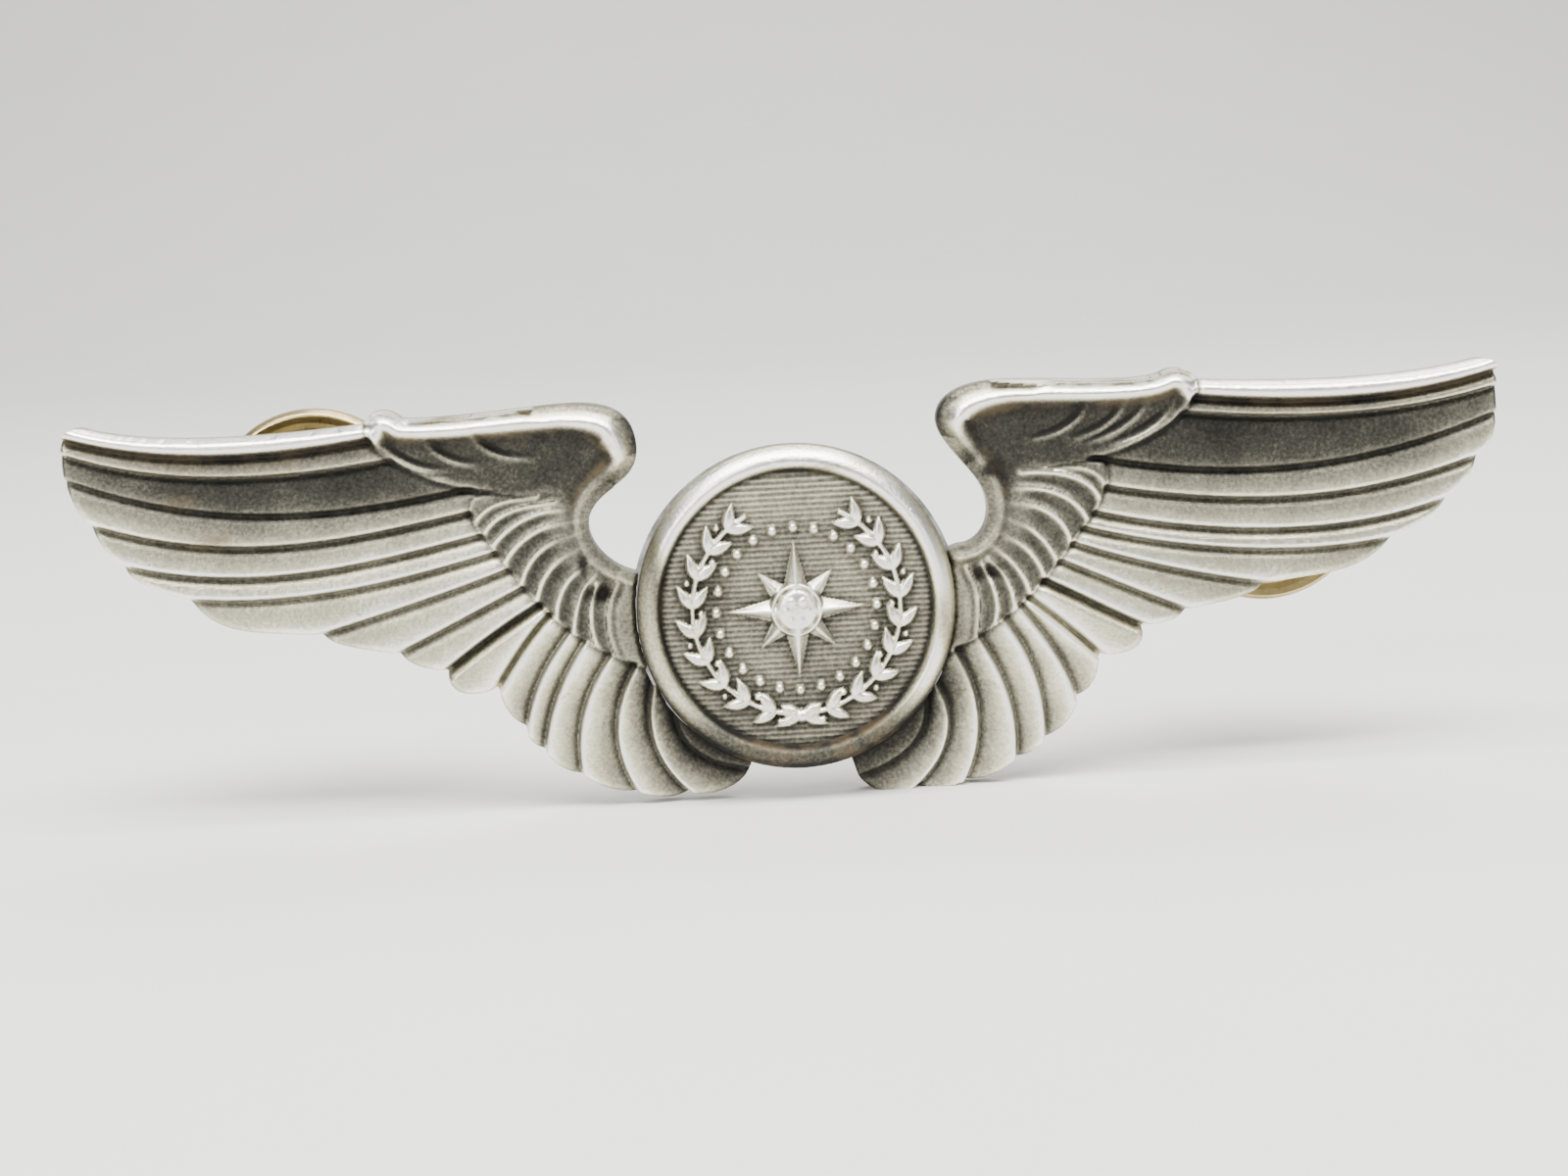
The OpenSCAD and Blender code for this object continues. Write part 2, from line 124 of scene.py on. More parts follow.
# the floor, in metres: flat, then a bend and a wall behind the badge
FLOOR_HALF = 1.6
BEND_AT = 0.28
BEND_R = 0.3
BEND_STEPS = 12
WALL_H = 1.2

# the camera, in mm: the badge's middle along the camera's own axes, and where that middle is
BADGE_FROM_CAMERA = Vector((0.58, -0.81, -131.8))
BADGE_MIDDLE = Vector((0, -0.6, 0))


# ---------- curves of the wings, x outwards and z up, in mm ----------

# vanes: free edges of the flight feathers from the wrist to the tip, uppermost first.
# vane_ends: their round outer ends, each from one free edge to the next.
# inners: raised outer edges of the inner feathers, from the top down, and their ends.
# coverts: raised rims of the small feathers, from the wrist to the band's outer boundary.
# cuts: strokes cut into the arm.
RIGHT = {
    "vanes": [
        [(21.9, 10.0), (27, 9.3), (33, 9.1), (37.9, 10.6)],
        [(21.7, 9.1), (27, 8.4), (33, 8.3), (38.1, 9.7)],
        [(16.9, 6.9), (23, 5.6), (30, 5.2), (38.1, 8.3)],
        [(16.9, 5.4), (23, 4.1), (30, 3.5), (37.1, 6)],
        [(16.1, 4.1), (21, 2.7), (29.5, 1.6), (35.4, 3.8)],
        [(15.5, 3.3), (20, 1.9), (27, 0.8), (32.4, 1.8)],
        [(14.9, 2.5), (18, 1.3), (22, 0.2), (25.4, -0.3)],
        [(14.2, 1.6), (16.4, 0.6), (18.8, -0.6), (21.1, -1.5)],
        [(13.4, 0.6), (15, -0.2), (17, -1.4), (18.7, -2.2)],
        [(12.6, -0.4), (14, -1.5), (15.2, -2.6), (16.3, -3.7)],
    ],
    "vane_ends": [
        [(38, 10.4), (38.1, 10.1), (38.1, 9.9), (38.1, 9.7)],
        [(38.1, 9.7), (38.1, 9.2), (38.1, 8.8), (38.1, 8.3)],
        [(38.1, 8.3), (38.1, 7.2), (37.7, 6.4), (37.1, 6)],
        [(37.1, 6), (36.7, 4.9), (36.1, 4.3), (35.4, 3.8)],
        [(35.4, 3.8), (34.9, 2.9), (33.5, 2.4), (32.4, 1.8)],
        [(32.4, 1.8), (30.4, -0.3), (28.6, 0.2), (25.4, -0.3)],
        [(25.4, -0.3), (24.6, -1.1), (22.8, -1.2), (21.1, -1.5)],
        [(21.1, -1.5), (20.6, -2.1), (19.6, -2.2), (18.7, -2.2)],
        [(18.7, -2.2), (19, -3.7), (17.4, -3.8), (16.3, -3.7)],
    ],
    "inners": [
        [(12.3, -0.9), (13.4, -2.3), (14.6, -3.9), (15.1, -5.9)],
        [(11.6, -1.8), (12.8, -3.5), (13.5, -5.8), (13.3, -8.1)],
        [(10.0, -2.4), (11.2, -4.3), (12.0, -6.6), (11.7, -9.1)],
        [(8.9, -3.5), (9.8, -5.2), (10.2, -7.8), (8.9, -10.2)],
        [(7.6, -4.9), (8.5, -6.4), (8.3, -8.7), (6.2, -10.4)],
        [(6.9, -5.6), (7, -7.4), (6, -8.9), (3, -9.7)],
    ],
    "inner_ends": [
        [(16.3, -3.7), (16.3, -4.9), (15.8, -5.6), (15.1, -5.9)],
        [(15.1, -5.9), (15, -6.8), (14.3, -7.7), (13.3, -8.1)],
        [(13.3, -8.1), (12.9, -8.7), (12.4, -9), (11.7, -9.1)],
        [(11.7, -9.1), (11, -9.8), (10, -10.3), (8.9, -10.2)],
        [(8.9, -10.2), (8, -10.7), (7, -10.75), (6.2, -10.4)],
        [(6.2, -10.4), (5.3, -10.95), (3.8, -10.8), (3, -9.7)],
    ],
    "arm_top": [
        [(8.9, 2.75), (10.3, 2.7), (11.2, 4.6), (9.9, 6.4)],
        [(9.9, 6.4), (9, 7.6), (8, 8.5), (7.95, 9.5)],
        [(7.95, 9.5), (8, 10.9), (9.6, 11.55), (12, 11.45)],
        [(12, 11.45), (15, 11.35), (18.5, 10.9), (20, 11.35)],
        [(20, 11.35), (20.8, 11.9), (21.9, 11.3), (21.9, 10.9)],
    ],
    "roll_top": [(21.9, 10.9), (27, 10.5), (33, 10.3), (37, 11.2)],
    "tip": [(37, 11.2), (37.8, 11.35), (38.1, 10.9), (38, 10.4)],
    "arm_under": [(21.9, 10.9), (22, 9), (18.6, 7), (14.5, 6.85)],
    "band": [
        [(16.8, 6.9), (17.4, 6.0), (16.6, 4.8), (16.2, 4.1)],
        [(16.2, 4.1), (14.6, 2.2), (13, -1.1), (8, -3.1)],
    ],
    "coverts": [
        [(14.6, 6.75), (15.9, 6.8), (16.8, 6.3), (16.95, 5.5)],
        [(13.2, 6.6), (14.9, 6.6), (16.7, 5.9), (16.7, 4.5)],
        [(12.4, 5.8), (13.8, 5.8), (15.3, 5.2), (15.9, 4.0)],
        [(12.3, 5.0), (13.4, 4.9), (14.8, 4.0), (15.0, 2.8)],
        [(12.1, 4.0), (13.1, 3.6), (13.9, 2.6), (14.3, 1.6)],
        [(11.8, 3.1), (12.7, 2.6), (13.4, 1.7), (13.6, 0.7)],
        [(11.4, 2.2), (12.1, 1.6), (12.7, 0.6), (12.8, -0.2)],
        [(11.1, 1.4), (11.6, 0.9), (11.9, 0.0), (11.9, -0.8)],
        [(10.6, 0.9), (10.9, 0.3), (11.1, -0.6), (10.9, -1.3)],
        [(9.7, 0.8), (10.0, 0.2), (10.0, -0.8), (9.8, -2.0)],
    ],
    "cuts": [
        [(12.9, 8.4), (14.2, 8.5), (15.3, 9.1), (15.7, 9.9)],
        [(15.1, 8.3), (16.4, 8.5), (17.3, 9.1), (17.8, 10.0)],
        [(15.8, 8.05), (17.2, 8.3), (18.4, 9.0), (18.9, 9.9)],
        [(17.4, 7.95), (18.8, 8.3), (19.8, 8.9), (20.4, 9.8)],
    ],
}
LEFT = {
    "vanes": [
        [(22.0, 10.1), (27, 9.35), (32.5, 9.2), (37.6, 10.9)],
        [(21.3, 8.85), (26.5, 8.1), (33, 8.0), (38, 10.1)],
        [(16.9, 7.2), (23, 6.2), (30, 5.3), (37.9, 8.75)],
        [(16.9, 5.9), (23, 4.8), (29.5, 3.5), (36.8, 6.3)],
        [(16.2, 4.7), (21.5, 3.6), (28.5, 1.9), (35.3, 4.05)],
        [(15.6, 3.7), (20, 2.6), (26, 1.2), (32, 2.05)],
        [(14.9, 2.8), (18, 1.7), (22, 0.6), (25.2, -0.2)],
        [(14.2, 1.8), (16.4, 0.8), (18.8, -0.4), (21.2, -1.45)],
        [(13.5, 0.9), (15, 0.1), (17, -1.2), (18.75, -2.5)],
        [(13.1, 0.2), (14, -0.6), (15, -1.9), (16.1, -3.6)],
    ],
    "vane_ends": [
        [(37.95, 10.5), (38, 10.4), (38, 10.2), (38, 10.1)],
        [(38, 10.1), (38, 9.7), (38, 9.2), (37.9, 8.75)],
        [(37.9, 8.75), (37.8, 7.9), (37.4, 7.0), (36.8, 6.3)],
        [(36.8, 6.3), (36.4, 5.2), (36, 4.6), (35.3, 4.05)],
        [(35.3, 4.05), (35, 3.1), (33.5, 2.7), (32, 2.05)],
        [(32, 2.05), (30.6, -0.1), (28.6, 0.2), (25.2, -0.2)],
        [(25.2, -0.2), (24.6, -0.95), (22.8, -1.1), (21.2, -1.45)],
        [(21.2, -1.45), (20.7, -2.2), (19.6, -2.4), (18.75, -2.5)],
        [(18.75, -2.5), (18.8, -4.1), (17.3, -4.0), (16.1, -3.6)],
    ],
    "inners": [
        [(12.3, -0.8), (13.4, -2.1), (14.5, -3.7), (14.8, -5.8)],
        [(11.6, -1.5), (12.7, -3.0), (13.7, -5.0), (13.9, -7.1)],
        [(10.1, -2.1), (11.5, -3.8), (12.4, -6.0), (12.0, -8.6)],
        [(8.9, -2.9), (10.1, -4.7), (10.6, -7.3), (9.1, -9.75)],
        [(7.9, -3.7), (8.6, -6.0), (8.2, -8.2), (6.3, -9.95)],
        [(6.8, -5.4), (6.9, -7.0), (5.8, -8.5), (2.9, -8.9)],
    ],
    "inner_ends": [
        [(16.1, -3.6), (16, -4.6), (15.5, -5.4), (14.8, -5.8)],
        [(14.8, -5.8), (14.8, -6.4), (14.4, -6.9), (13.9, -7.1)],
        [(13.9, -7.1), (13.5, -7.9), (12.9, -8.4), (12, -8.6)],
        [(12, -8.6), (11.3, -9.2), (10.2, -9.8), (9.1, -9.75)],
        [(9.1, -9.75), (8.2, -10.2), (7.1, -10.3), (6.3, -9.95)],
        [(6.3, -9.95), (5.4, -10.3), (3.6, -10.1), (2.9, -8.9)],
    ],
    "arm_top": [
        [(8.7, 2.35), (10.2, 2.9), (11.7, 4.9), (10, 6.4)],
        [(10, 6.4), (9.2, 7.1), (7.8, 7.5), (8, 9.2)],
        [(8, 9.2), (8.2, 10.9), (9.4, 11.5), (12, 11.4)],
        [(12, 11.4), (15, 11.25), (18.5, 10.9), (20.2, 11.1)],
        [(20.2, 11.1), (21, 11.9), (22, 11.6), (22.1, 10.9)],
    ],
    "roll_top": [(22.1, 10.9), (27, 10.5), (33, 10.3), (36.5, 11.35)],
    "tip": [(36.5, 11.35), (37.3, 11.7), (37.9, 11.3), (37.95, 10.5)],
    "arm_under": [(22.1, 10.9), (22.2, 9), (18.8, 7.1), (14, 6.75)],
    "band": [
        [(16.7, 6.7), (17.3, 5.9), (16.6, 4.9), (16.1, 4.3)],
        [(16.1, 4.3), (14.6, 2.1), (12.8, -1.3), (8, -3.0)],
    ],
    "coverts": [
        [(14.3, 6.65), (15.5, 6.6), (16.4, 6.2), (16.9, 5.4)],
        [(13.3, 6.3), (14.9, 6.2), (16.0, 5.7), (16.5, 4.7)],
        [(12.3, 6.0), (13.6, 6.0), (15.0, 5.4), (16.0, 4.2)],
        [(12.2, 5.3), (13.3, 5.2), (14.7, 4.5), (15.4, 3.3)],
        [(12.1, 4.5), (13.1, 4.3), (14.3, 3.4), (14.6, 2.1)],
        [(12.0, 3.6), (12.7, 3.3), (13.5, 2.5), (13.8, 1.4)],
        [(11.6, 2.6), (12.2, 2.2), (12.8, 1.3), (12.9, 0.2)],
        [(11.0, 2.0), (11.5, 1.5), (11.9, 0.4), (12.0, -0.5)],
        [(10.9, 0.9), (11.1, 0.3), (11.1, -0.6), (10.9, -1.3)],
        [(9.9, 1.0), (10.2, 0.4), (10.3, -0.8), (9.9, -1.9)],
    ],
    "cuts": [
        [(13.4, 8.85), (15.0, 8.8), (16.0, 9.4), (16.4, 10.2)],
        [(16.2, 8.65), (17.4, 8.7), (18.2, 9.1), (18.8, 9.9)],
        [(17.9, 8.45), (19.4, 8.4), (20.4, 9.1), (21.1, 9.9)],
        [(18.0, 8.0), (19.5, 8.0), (20.7, 8.6), (21.4, 9.6)],
    ],
}


def bezier(points, count=16):
    """Points along one cubic curve, from its four control points."""
    p = np.array(points, float)
    t = np.linspace(0, 1, count + 1)[:, None]
    s = 1 - t
    return s**3 * p[0] + 3 * s * s * t * p[1] + 3 * s * t * t * p[2] + t**3 * p[3]


def chain(curves, count=16):
    """Cubic curves that follow one another, as one line."""
    lines = [bezier(curves[0], count)] + [bezier(c, count)[1:] for c in curves[1:]]
    return np.vstack(lines)


def longer(line, before, after):
    """A line carried on straight at both ends."""
    back = line[0] - line[1]
    ahead = line[-1] - line[-2]
    start = line[0] + back / np.linalg.norm(back) * before
    end = line[-1] + ahead / np.linalg.norm(ahead) * after
    return np.vstack([start, line, end])


def distance(line, x, z):
    """Signed distance to a line (positive on its left), place along it 0 to 1, nearest point."""
    best = np.full(x.shape, 1e9)
    side = np.ones(x.shape)
    place = np.zeros(x.shape)
    near_x, near_z = x.copy(), z.copy()
    count = len(line) - 1
    for k in range(count):
        (ax, az), (bx, bz) = line[k], line[k + 1]
        dx, dz = bx - ax, bz - az
        t = np.clip(((x - ax) * dx + (z - az) * dz) / max(dx * dx + dz * dz, 1e-12), 0, 1)
        px, pz = ax + t * dx, az + t * dz
        d = (x - px) ** 2 + (z - pz) ** 2
        take = d < best
        best = np.where(take, d, best)
        side = np.where(take, np.sign(dx * (z - az) - dz * (x - ax)), side)
        place = np.where(take, (k + t) / count, place)
        near_x = np.where(take, px, near_x)
        near_z = np.where(take, pz, near_z)
    side = np.where(side == 0, 1, side)
    return np.sqrt(best) * side, place, near_x, near_z


def inside(loop, x, z):
    """Which points a closed loop surrounds."""
    odd = np.zeros(x.shape, bool)
    for (ax, az), (bx, bz) in zip(loop, np.roll(loop, -1, axis=0)):
        if az == bz:
            continue
        crosses = (az > z) != (bz > z)
        odd ^= crosses & (x < ax + (z - az) * (bx - ax) / (bz - az))
    return odd


def depth_in(loop, x, z):
    """Distance into a closed loop, negative outside it."""
    d = np.abs(distance(np.vstack([loop, loop[:1]]), x, z)[0])
    return np.where(inside(loop, x, z), d, -d)


def ease(t):
    """Smooth step from 0 to 1 while t goes from 0 to 1."""
    t = np.clip(t, 0, 1)
    return t * t * (3 - 2 * t)


def round_over(d, r):
    """Quarter circle from 0 at an edge to 1 at r from it."""
    t = np.clip(d / r, 0, 1)
    return np.sqrt(np.clip(1 - (1 - t) ** 2, 0, 1))


def bump_at(x, z, cx, cz, rx, rz):
    """Soft oval spot, 1 at its middle."""
    return np.exp(-(((x - cx) / rx) ** 2) - ((z - cz) / rz) ** 2)


def hill(d, at, width):
    """Soft ridge, 1 where d is at its place."""
    return np.exp(-(((d - at) / width) ** 2))


def add_spots(values, x, z, spots):
    """Adds soft oval spots, each an amount, a middle and two radii."""
    for amount, *place in spots:
        values = values + amount * bump_at(x, z, *place)
    return values


# ---------- relief of one wing ----------

def wing_outline(wing):
    """One wing from the notch over the arm, round the tip and down to the lowest inner feather."""
    parts = [chain(wing["arm_top"]), bezier(wing["roll_top"])[1:], bezier(wing["tip"], 8)[1:],
             chain(wing["vane_ends"], 10)[1:], chain(wing["inner_ends"], 10)[1:]]
    return np.vstack(parts)


def plate_outline():
    """Both wings, joined by arcs that stay hidden under the medallion."""
    right = wing_outline(RIGHT)
    left = wing_outline(LEFT)[::-1] * (-1, 1)
    radius = MED_R - BRIDGE_IN

    def arc(start, end, count):
        first = math.atan2(start[1], start[0])
        last = math.atan2(end[1], end[0])
        if last > first:
            last -= 2 * math.pi
        t = np.linspace(first, last, count)
        return np.c_[radius * np.cos(t), radius * np.sin(t)]

    return np.vstack([arc(left[-1], right[0], 40), right, arc(right[-1], left[0], 24), left])


def regions(lines, x, z):
    """Which strip between neighbouring lines each point is in, with its distances to both."""
    dist = np.array([distance(l, x, z)[0] for l in lines])
    region = np.full(x.shape, len(lines))
    for k in range(len(lines) - 1, -1, -1):
        region = np.where(dist[k] > 0, k, region)
    before = np.abs(np.take_along_axis(dist, np.clip(region - 1, 0, None)[None], 0)[0])
    after = np.abs(np.take_along_axis(dist, np.clip(region, 0, len(lines) - 1)[None], 0)[0])
    return region, before, after


# how far each feather is rubbed bright at its free edge and at its covered edge, with painted
# light and shade: the wide second flight feather is painted dark as shade and the lower ones
# painted bright as lit. The roll, the flight feathers from the top down, then the inner feathers
CLEAN_AND_LIT = [0.97, 0.6, 0.2, 0.74, 0.88, 0.95, 0.98, 0.98, 0.98, 0.98, 0.9, 0.95, 0.98, 0.95, 0.9,
         0.82, 0.55]
GRIMY_AND_SHADED = [0.5, 0.16, 0.08, 0.3, 0.46, 0.6, 0.66, 0.66, 0.66, 0.66, 0.54, 0.58, 0.54, 0.48, 0.42,
         0.34, 0.28]


def fan_relief(x, z, wing, depth):
    """Overlapping flight feathers and inner feathers, with the roll along the wing's top."""
    flight_count = len(wing["vanes"])
    lines = [longer(bezier(c), before=4, after=2) for c in wing["vanes"] + wing["inners"]]
    region, before, after = regions(lines, x, z)
    flight = region < flight_count
    free = np.where(flight, after, before)
    cover = np.where(flight, before, after)
    t = free / (free + cover + 1e-6)
    clean_and_lit = np.take(CLEAN_AND_LIT, region)
    grimy_and_shaded = np.take(GRIMY_AND_SHADED, region)
    # each feather lighter at its free edge and darker towards its covered edge: wear and patina,
    # with painted light and shade
    tone = grimy_and_shaded + (clean_and_lit - grimy_and_shaded) * (1 - ease(t / 0.9)) ** 0.8

    top = CREST - VANE_FALL * t**1.1 + VANE_CROWN * np.sin(math.pi * t)
    top = top - np.where(region == HOLLOW_VANE, 0.12 * np.sin(math.pi * t), 0)
    lip = ease(free / LIP_W)
    foot = ease(cover / FOOT_W)
    deep = np.where(flight, 0.36, 0.28)
    h = GROOVE + (top - GROOVE) * lip * (1 - deep * (1 - foot))
    # raised ridge along the free edge, painted brighter: wear of the edge and painted highlight
    ridge = hill(free, 0.17, 0.11)
    h = h + np.where(flight, 0.03, 0.15) * ridge
    tone = np.clip(tone + np.where(flight, 0.12, 0.3) * ridge, 0, 1)
    # darker at the step down and where the next feather covers it: patina and painted shade
    dirt_and_shade = np.where(flight, 0.3, 0.2)
    tone = tone * (1 - dirt_and_shade * (1 - foot)) * (1 - dirt_and_shade * (1 - lip))
    # inner feathers darker near the medallion and lighter towards their ends: patina and painted
    # shade near the medallion, painted light on the ends
    near_disc = ease((np.hypot(x, z) - 8.6) / 3.6)
    tone = tone * np.where(flight, 1, 0.7 + 0.36 * near_disc)
    near_tip = ease((x - 31) / 6)
    tone = tone + np.where(flight, 0.18 * near_tip, 0)

    last_flight = region == flight_count - 1
    crown = GROOVE + 0.72 * ease(before / 0.5) * ease(after / 0.35)
    h = np.where(last_flight, crown, h)
    last = region == len(lines)
    h = np.where(last, GROOVE + 0.5 * ease(before / 0.2), h)

    roll = region == 0
    edge = np.abs(distance(longer(bezier(wing["roll_top"]), 2, 2), x, z)[0])
    across = np.clip(edge / (edge + after + 1e-6), 0, 1)
    h = np.where(roll, GROOVE + ROLL_H * np.sqrt(1 - np.abs(2 * across - 1) ** 2.6), h)
    # the roll rubbed bright along its top with a painted highlight, and painted darker down its
    # underside as shade
    tone = np.where(roll, 1.0 - 0.7 * ease((across - 0.6) / 0.4), tone)
    edge_drop = np.where(roll, 1, 0.7 + 0.3 * round_over(depth, 0.25))
    stain = np.where(roll, ease((across - 0.6) / 0.3), np.where(region == 1, 0.5, 0.0))
    return h * edge_drop, tone, stain


def covert_relief(x, z, wing):
    """Small overlapping feathers between the wrist and the long ones."""
    lines = [longer(bezier(c), before=0.8, after=1.5) for c in wing["coverts"]]
    region, before, after = regions(lines, x, z)
    first = region == 0
    t = before / (before + after + 1e-6)
    inner = 1.5 - 0.4 * np.sin(math.pi * np.clip(t, 0, 1)) ** 0.7 - 0.2 * t
    h = 1.1 + (inner - 1.1) * ease(before / 0.15) + 0.12 * hill(before, 0.15, 0.12)
    h = np.where(first, 1.25, h)
    # painted highlight on each rim, painted shade in the groove in front of it and in the middle
    # of each scale
    tone = 0.46 - 0.14 * np.sin(math.pi * t) + 0.5 * hill(before, 0.16, 0.16)
    tone = tone * (0.35 + 0.65 * ease(before / 0.1))
    tone = np.where(first, 0.35, tone)
    plain = np.where(region == len(lines), ease((before - 0.15) / 0.5), 0)
    h = h + (WRIST_Z - h) * plain
    tone = tone + (WRIST_TONE - tone) * plain
    from_wrist = np.hypot(x - 10.2, z - 4.6) - 1.9
    fade = ease(np.where(z > 1.0, from_wrist / 1.4, 1.0))
    h = WRIST_Z + (h - WRIST_Z) * (0.15 + 0.85 * fade)
    tone = WRIST_TONE + (tone - WRIST_TONE) * (0.3 + 0.7 * fade)
    # a recess under the arm's neck, lowered and painted darker as shade
    hollow = bump_at(x, z, 10.4, 1.15, 0.75, 0.45)
    return h - 0.45 * hollow, tone - 0.34 * hollow, np.zeros(x.shape)


def arm_relief(x, z, wing):
    """Round leading edge, hollow field behind it and the strokes cut into the field."""
    d, place, _, _ = distance(chain(wing["arm_top"]), x, z)
    d = np.abs(d)
    radius = np.interp(place, [0, 0.12, 0.3, 0.45, 0.6, 0.8, 0.92, 1],
                       [0.5, 0.55, 0.75, 1.1, 0.72, 0.6, 0.72, 0.7])
    crest = np.interp(place, [0, 0.2, 0.45, 0.6, 0.9, 1], [1.55, 1.65, 1.85, 1.75, 1.7, 1.55])
    round_in = np.sin(math.pi / 2 * np.clip(d / radius, 0, 1))
    roll = ARM_EDGE_Z + (crest - ARM_EDGE_Z) * round_in
    back = crest - (crest - ARM_FIELD_Z) * ease((d - radius) / (radius * 1.3))
    h = np.where(d < radius, roll, back)
    far = d / radius
    # the roll bright along its crest, brightest at the bend: wear with painted highlight; the
    # field behind it darker
    polish_and_highlight = np.interp(place, [0, 0.08, 0.2, 0.3, 0.38, 1], [0.85, 0.62, 0.5, 0.66, 1.1, 1.05])
    tone = polish_and_highlight - (polish_and_highlight - 0.12) * ease((far - 1.15) / 0.75) + 0.04 * ease((far - 2.2) / 0.7)
    # painted shade on the roll's outer edge
    tone = tone - 0.14 * (1 - ease(far / 0.5))
    stain = hill(far, 1.75, 0.4)
    under = np.abs(distance(bezier(wing["arm_under"]), x, z)[0])
    lip = hill(under, 0.2, 0.2) * ease((x - 14.5) / 3)
    h = h + 0.1 * lip
    tone = tone + 0.3 * lip
    for c in wing["cuts"]:
        s, along, _, _ = distance(bezier(c, 12), x, z)
        ends = np.sin(math.pi * np.clip(along * 0.96 + 0.02, 0, 1)) ** 0.6
        cut = ends * hill(s, 0, 0.12)
        edge = ends * hill(s, -0.26, 0.12)
        h = h - 0.3 * cut + 0.13 * edge - 0.1 * ends * hill(s, 0.3, 0.25)
        tone = tone - 0.1 * cut + 0.3 * edge
    return h, tone, stain


def over(below, above, depth, soft, groove):
    """Lays one relief over another, with a soft step and a groove at its foot painted darker:
    patina and painted shade.
    """
    w = ease(depth / soft)
    foot = hill(depth, 0, 0.2) * (depth < 0) * groove
    h = (below[0] - 0.16 * foot) * (1 - w) + above[0] * w
    tone = below[1] * (1 - 0.6 * foot) * (1 - w) + above[1] * w
    return h, tone, below[2] * (1 - w) + above[2] * w


def wing_relief(x, z, wing, depth):
    """Height of one wing over its back, and how clean it is, for x outwards."""
    band = np.vstack([chain(wing["band"]), [(4, -3), (4, 4), (11, 8)]])
    fan = fan_relief(x, z, wing, depth)
    both = over(fan, covert_relief(x, z, wing), depth_in(band, x, z), 0.16, 0.8)
    wrist = [(12.4, 6.4), (11.9, 4.6), (11.4, 2.8), (10, 1.7), (8, 1.2), (6, 2)]
    arm = np.vstack([chain(wing["arm_top"]), bezier(wing["arm_under"]), wrist])
    soft = 0.16 + 0.8 * ease((14.6 - x) / 2)
    return over(both, arm_relief(x, z, wing), depth_in(arm, x, z), soft, ease((x - 13) / 2))


# ---------- meshing ----------

def smooth(h, mask, passes):
    """Softens a height on its grid without drawing in what is outside the mask."""
    w = mask.astype(float)
    for _ in range(passes):
        for axis in (0, 1):
            num = h * w
            den = w.copy()
            total = num.copy()
            for s in (-1, 1):
                total += 0.5 * np.roll(num, s, axis)
                den += 0.5 * np.roll(w, s, axis)
            h = np.where(mask, total / np.maximum(den, 1e-9), h)
    return h


def least(d, axis):
    """Points no farther from the outline than their two neighbours along one axis."""
    return (d <= np.roll(d, 1, axis)) & (d < np.roll(d, -1, axis))


def snapped_grid(outline, step):
    """Grid points inside an outline, with those next to it moved onto it."""
    low = outline.min(0) - step * 1.5
    high = outline.max(0) + step * 1.5
    nx, nz = np.ceil((high - low) / step).astype(int) + 1
    columns = low[0] + step * np.arange(nx)
    rows = low[1] + step * np.arange(nz)
    x, z = np.meshgrid(columns, rows, indexing="ij")
    d, _, px, pz = distance(np.vstack([outline, outline[:1]]), x, z)
    d = np.abs(d)
    within = inside(outline, x, z)
    upright = np.abs(pz - z) >= np.abs(px - x)
    nearest = np.where(upright, least(d, 1), least(d, 0))
    on = nearest & (d < SNAP * step)
    return np.where(on, px, x), np.where(on, pz, z), within | on, np.where(within & ~on, d, 0)


def land_shell(first):
    """Round land on the back, with a softened edge: points in mm and faces numbered from first."""
    profile = [(LAND_R, -LAND - LAND_SINK), (LAND_R, -LAND_SOFT), (LAND_R - LAND_SOFT, 0)]
    turn = np.linspace(0, 2 * math.pi, LAND_SIDES + 1)[:-1]
    points = [(r * math.cos(a), y, r * math.sin(a)) for r, y in profile for a in turn]
    faces = []
    for ring in range(len(profile) - 1):
        start = first + ring * LAND_SIDES
        for k in range(LAND_SIDES):
            a, b = start + k, start + (k + 1) % LAND_SIDES
            faces.append((a, a + LAND_SIDES, b + LAND_SIDES, b))
    top = first + (len(profile) - 1) * LAND_SIDES
    faces.append(tuple(range(first, first + LAND_SIDES)))
    faces.append(tuple(range(top + LAND_SIDES - 1, top - 1, -1)))
    return points, faces


def kept_faces(keep):
    """Faces over the grid points that are kept, and which grid points they use."""
    nx, nz = keep.shape
    ids = np.arange(nx * nz).reshape(nx, nz)
    corners = [ids[:-1, :-1], ids[1:, :-1], ids[1:, 1:], ids[:-1, 1:]]
    kept = keep.ravel()
    quads = np.stack([c.ravel() for c in corners], 1)
    count = kept[quads].sum(1)
    faces = [tuple(q) for q in quads[count == 4]]
    for q in quads[count == 3]:
        faces.append(tuple(i for i in q if kept[i]))
    used = np.unique(np.concatenate([np.array(f) for f in faces]))
    new_id = np.full(nx * nz, -1)
    new_id[used] = np.arange(len(used))
    return [tuple(int(new_id[i]) for i in f) for f in faces], used


def open_edges(faces):
    """Boundary of a sheet of faces: the next point after each point on it."""
    edges = set()
    for f in faces:
        for a, b in zip(f, f[1:] + f[:1]):
            edges.add((a, b))
    return {a: b for a, b in edges if (b, a) not in edges}


def back_faces(rim, foot):
    """One flat face for each closed loop of the rim, on the points at the foot of its wall."""
    todo = set(rim)
    faces = []
    while todo:
        a = next(iter(todo))
        loop = []
        while a in todo:
            todo.discard(a)
            loop.append(foot[a])
            a = rim[a]
        faces.append(tuple(reversed(loop)))
    return faces


def sharpen(mesh, level):
    """Marks an edge as sharp where both its ends have the same level over 0."""
    ends = np.zeros(2 * len(mesh.edges), int)
    mesh.edges.foreach_get("vertices", ends)
    a, b = level[ends[::2]], level[ends[1::2]]
    sharp = mesh.attributes.new("sharp_edge", "BOOLEAN", "EDGE")
    sharp.data.foreach_set("value", (a == b) & (a > 0))


